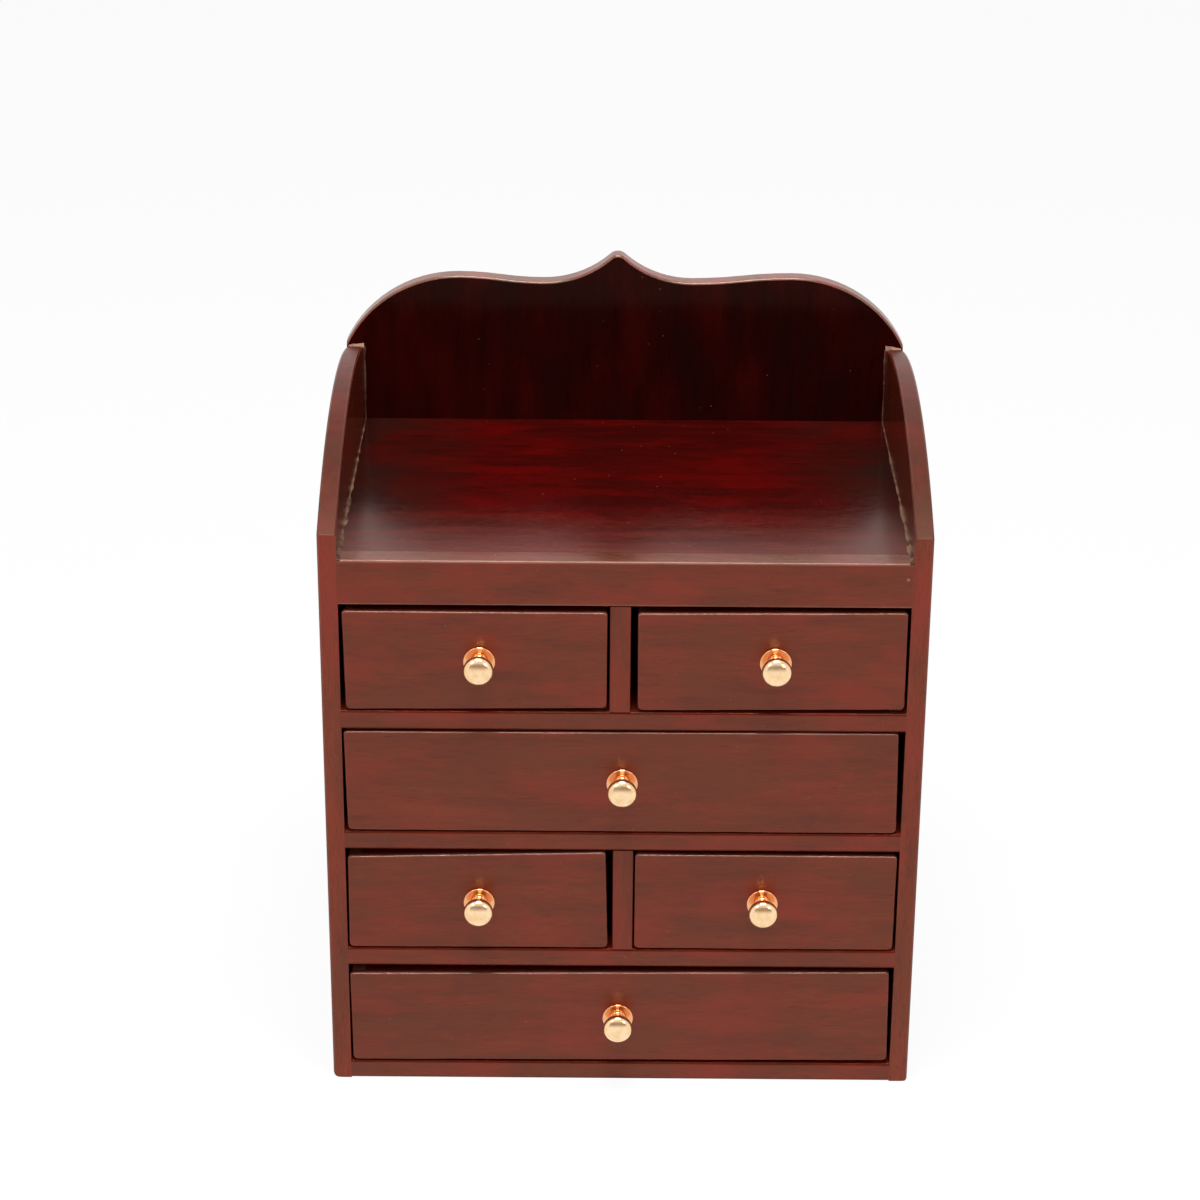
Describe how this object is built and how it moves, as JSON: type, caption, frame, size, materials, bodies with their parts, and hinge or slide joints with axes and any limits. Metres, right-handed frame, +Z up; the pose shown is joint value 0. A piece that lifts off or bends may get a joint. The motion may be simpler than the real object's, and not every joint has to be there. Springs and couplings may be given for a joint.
{
  "type": "desk organizer with drawers",
  "caption": "Small mahogany desk chest: rows of brass-knobbed drawers under an open top shelf with curved sides and a shaped back.",
  "frame": {"origin": "middle of the case's footprint, on the surface that it stands on", "axes": "+Z up, the front with the drawers faces -Y, +X to the right seen from the front"},
  "size_m": [0.305, 0.2296, 0.3934],
  "materials": {
    "mahogany": "dark red-brown, satin lacquer",
    "drawer_wood": "plain sanded, unpolished",
    "drawer_panel": "thin panel, sanded",
    "brass": "polished",
    "screw_steel": "plain zinc"
  },
  "bodies": {
    "case": {"side_panel_left": "mahogany", "side_panel_right": "mahogany", "back_panel": "mahogany", "top_rail": "mahogany", "top_shelf": "mahogany", "upper_shelf": "mahogany", "middle_shelf": "mahogany", "lower_shelf": "mahogany", "bottom_board": "mahogany", "upper_divider": "mahogany", "lower_divider": "mahogany", "kicker_left": "drawer_wood", "kicker_middle": "drawer_wood", "kicker_right": "drawer_wood"},
    "upper_left_drawer": {"upper_left_drawer_front": "mahogany", "upper_left_drawer_side_left": "drawer_wood", "upper_left_drawer_side_right": "drawer_wood", "upper_left_drawer_back": "drawer_wood", "upper_left_drawer_bottom": "drawer_panel", "upper_left_drawer_knob": "brass", "upper_left_drawer_knob_screw": "screw_steel"},
    "upper_right_drawer": {"upper_right_drawer_front": "mahogany", "upper_right_drawer_side_left": "drawer_wood", "upper_right_drawer_side_right": "drawer_wood", "upper_right_drawer_back": "drawer_wood", "upper_right_drawer_bottom": "drawer_panel", "upper_right_drawer_knob": "brass", "upper_right_drawer_knob_screw": "screw_steel"},
    "upper_wide_drawer": {"upper_wide_drawer_front": "mahogany", "upper_wide_drawer_side_left": "drawer_wood", "upper_wide_drawer_side_right": "drawer_wood", "upper_wide_drawer_back": "drawer_wood", "upper_wide_drawer_bottom": "drawer_panel", "upper_wide_drawer_knob": "brass", "upper_wide_drawer_knob_screw": "screw_steel"},
    "lower_left_drawer": {"lower_left_drawer_front": "mahogany", "lower_left_drawer_side_left": "drawer_wood", "lower_left_drawer_side_right": "drawer_wood", "lower_left_drawer_back": "drawer_wood", "lower_left_drawer_bottom": "drawer_panel", "lower_left_drawer_knob": "brass", "lower_left_drawer_knob_screw": "screw_steel"},
    "lower_right_drawer": {"lower_right_drawer_front": "mahogany", "lower_right_drawer_side_left": "drawer_wood", "lower_right_drawer_side_right": "drawer_wood", "lower_right_drawer_back": "drawer_wood", "lower_right_drawer_bottom": "drawer_panel", "lower_right_drawer_knob": "brass", "lower_right_drawer_knob_screw": "screw_steel"},
    "lower_wide_drawer": {"lower_wide_drawer_front": "mahogany", "lower_wide_drawer_side_left": "drawer_wood", "lower_wide_drawer_side_right": "drawer_wood", "lower_wide_drawer_back": "drawer_wood", "lower_wide_drawer_bottom": "drawer_panel", "lower_wide_drawer_knob": "brass", "lower_wide_drawer_knob_screw": "screw_steel"}
  },
  "joints": [
    {"name": "upper_left_drawer_slide", "type": "slide", "parent": "case", "child": "upper_left_drawer", "axis": [0, -1, 0], "range_m": [0, 0.15]},
    {"name": "upper_right_drawer_slide", "type": "slide", "parent": "case", "child": "upper_right_drawer", "axis": [0, -1, 0], "range_m": [0, 0.15]},
    {"name": "upper_wide_drawer_slide", "type": "slide", "parent": "case", "child": "upper_wide_drawer", "axis": [0, -1, 0], "range_m": [0, 0.15]},
    {"name": "lower_left_drawer_slide", "type": "slide", "parent": "case", "child": "lower_left_drawer", "axis": [0, -1, 0], "range_m": [0, 0.15]},
    {"name": "lower_right_drawer_slide", "type": "slide", "parent": "case", "child": "lower_right_drawer", "axis": [0, -1, 0], "range_m": [0, 0.15]},
    {"name": "lower_wide_drawer_slide", "type": "slide", "parent": "case", "child": "lower_wide_drawer", "axis": [0, -1, 0], "range_m": [0, 0.15]}
  ]
}
